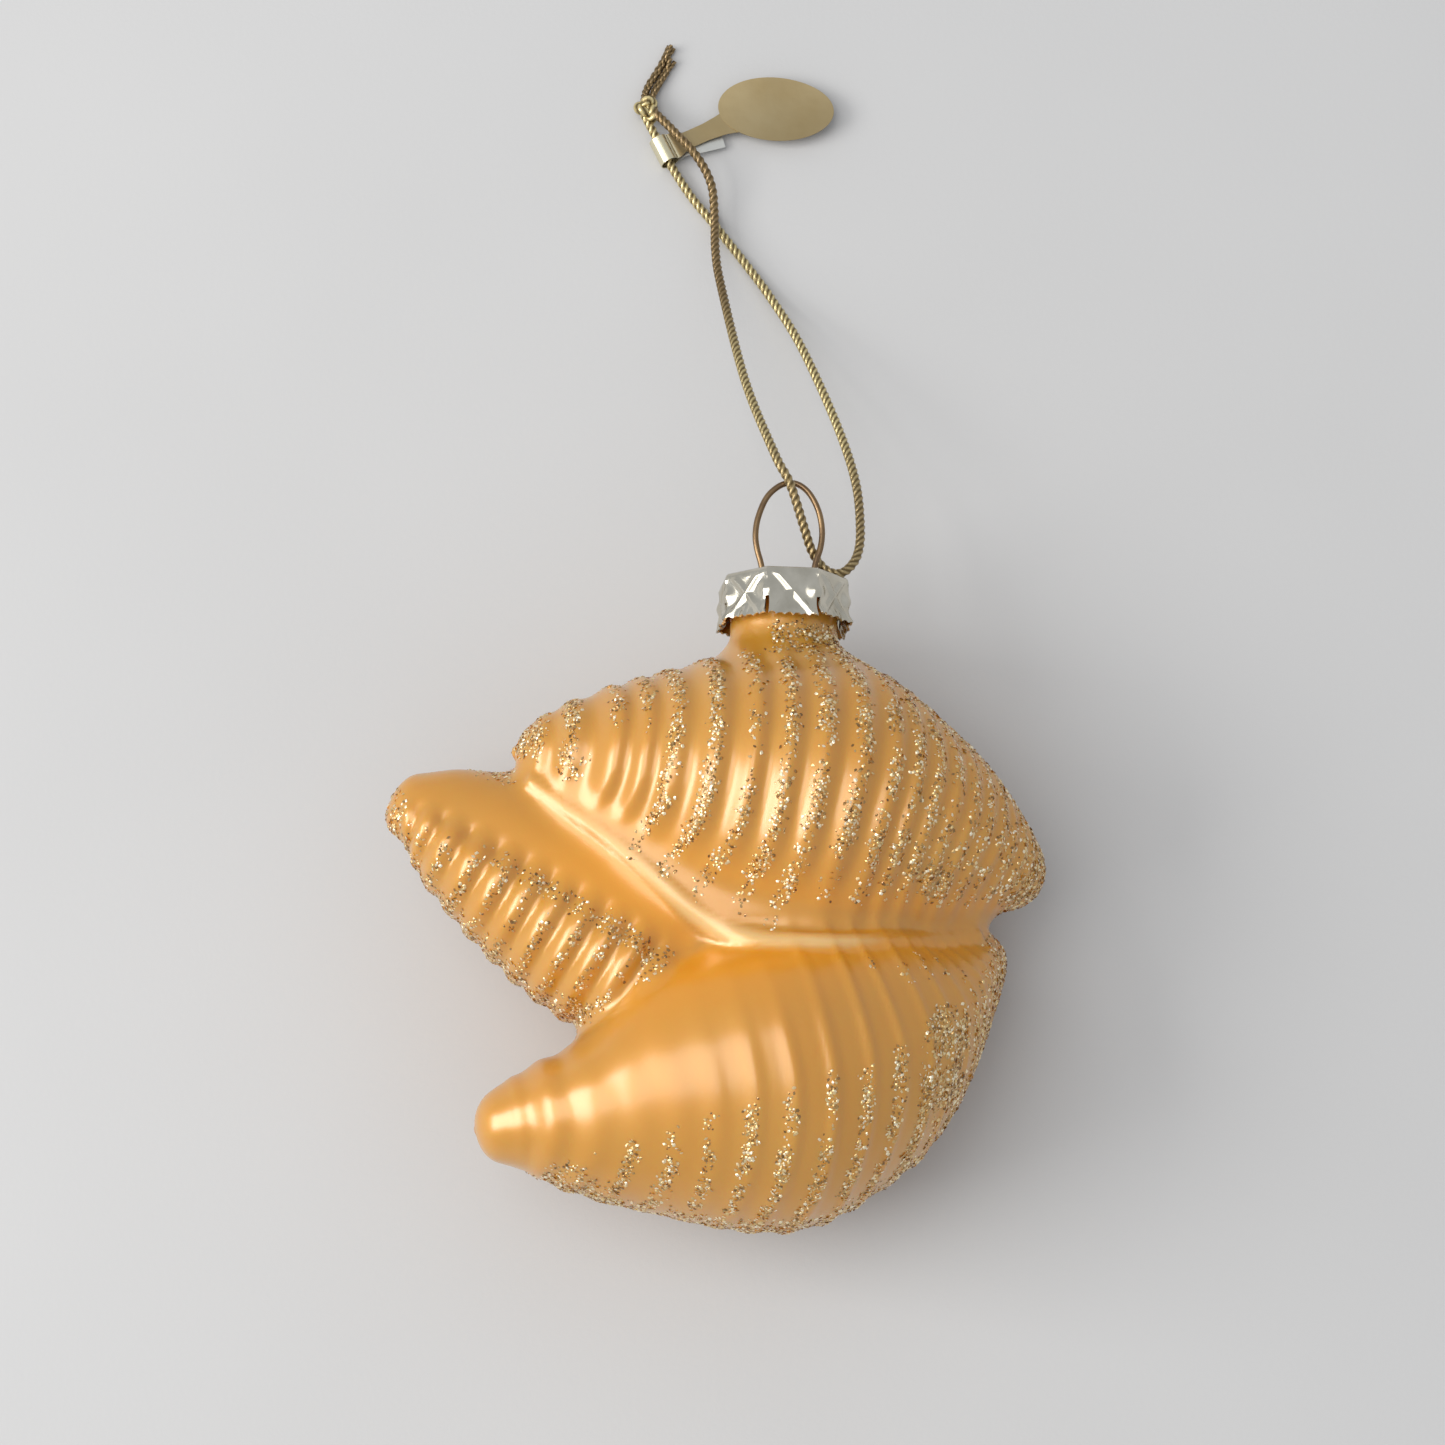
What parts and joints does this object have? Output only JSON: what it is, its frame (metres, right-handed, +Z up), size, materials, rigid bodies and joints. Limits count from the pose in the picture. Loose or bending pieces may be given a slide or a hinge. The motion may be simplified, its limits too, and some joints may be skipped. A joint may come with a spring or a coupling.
{
  "type": "christmas ornament",
  "caption": "Blown-glass tree ornament shaped as a ribbed, curled shell with glitter lines, crown cap, wire hanger, metallic cord loop and blank foil label",
  "frame": {"origin": "on the table, under the middle of the box of the glass, cap and hanger, as the ornament lies on its back", "axes": "+X to the right in the front view, +Y along the neck towards the hanger and cord, +Z up out of the table through the front of the glass"},
  "size_m": [0.0656, 0.1311, 0.0315],
  "materials": {
    "glass": "satin pearl orange-gold lacquer over thin blown glass",
    "glitter": "loose gold and champagne flakes set in clear glue",
    "cap_metal": "bright stamped sheet with embossed lozenges",
    "wire": "bronzed spring wire",
    "cord": "twisted metallic gold yarn",
    "foil": "satin gold foil, silver on the back"
  },
  "bodies": {
    "glass": {"glass_body": "glass", "upper_glitter": "glitter", "middle_glitter": "glitter", "lower_glitter": "glitter", "neck_glitter": "glitter"},
    "cap": {"crown_cap": "cap_metal"},
    "hanger": {"hanger_wire": "wire", "cord_bight": "cord"},
    "cord": {"cord_strand_left": "cord", "cord_strand_right": "cord", "cord_knot": "cord", "cord_tails": "cord"},
    "label": {"foil_label": "foil"}
  },
  "joints": [
    {"name": "cap_lift", "type": "slide", "parent": "glass", "child": "cap", "axis": [0, 1, 0], "range_m": [0, 0.02]},
    {"name": "hanger_turn", "type": "hinge", "parent": "cap", "child": "hanger", "pos_m": [0.0065, 0.028, 0.016], "axis": [0, 1, 0], "continuous": true},
    {"name": "cord_swing", "type": "hinge", "parent": "hanger", "child": "cord", "pos_m": [0.0115, 0.0311, 0.0145], "axis": [1, 0, 0], "range_deg": [0, 85], "deforming": ["cord_bight"]},
    {"name": "label_turn", "type": "hinge", "parent": "cord", "child": "label", "pos_m": [-0.006, 0.0805, 0.0012], "axis": [0.4384, -0.8988, 0], "range_deg": [0, 18]}
  ]
}
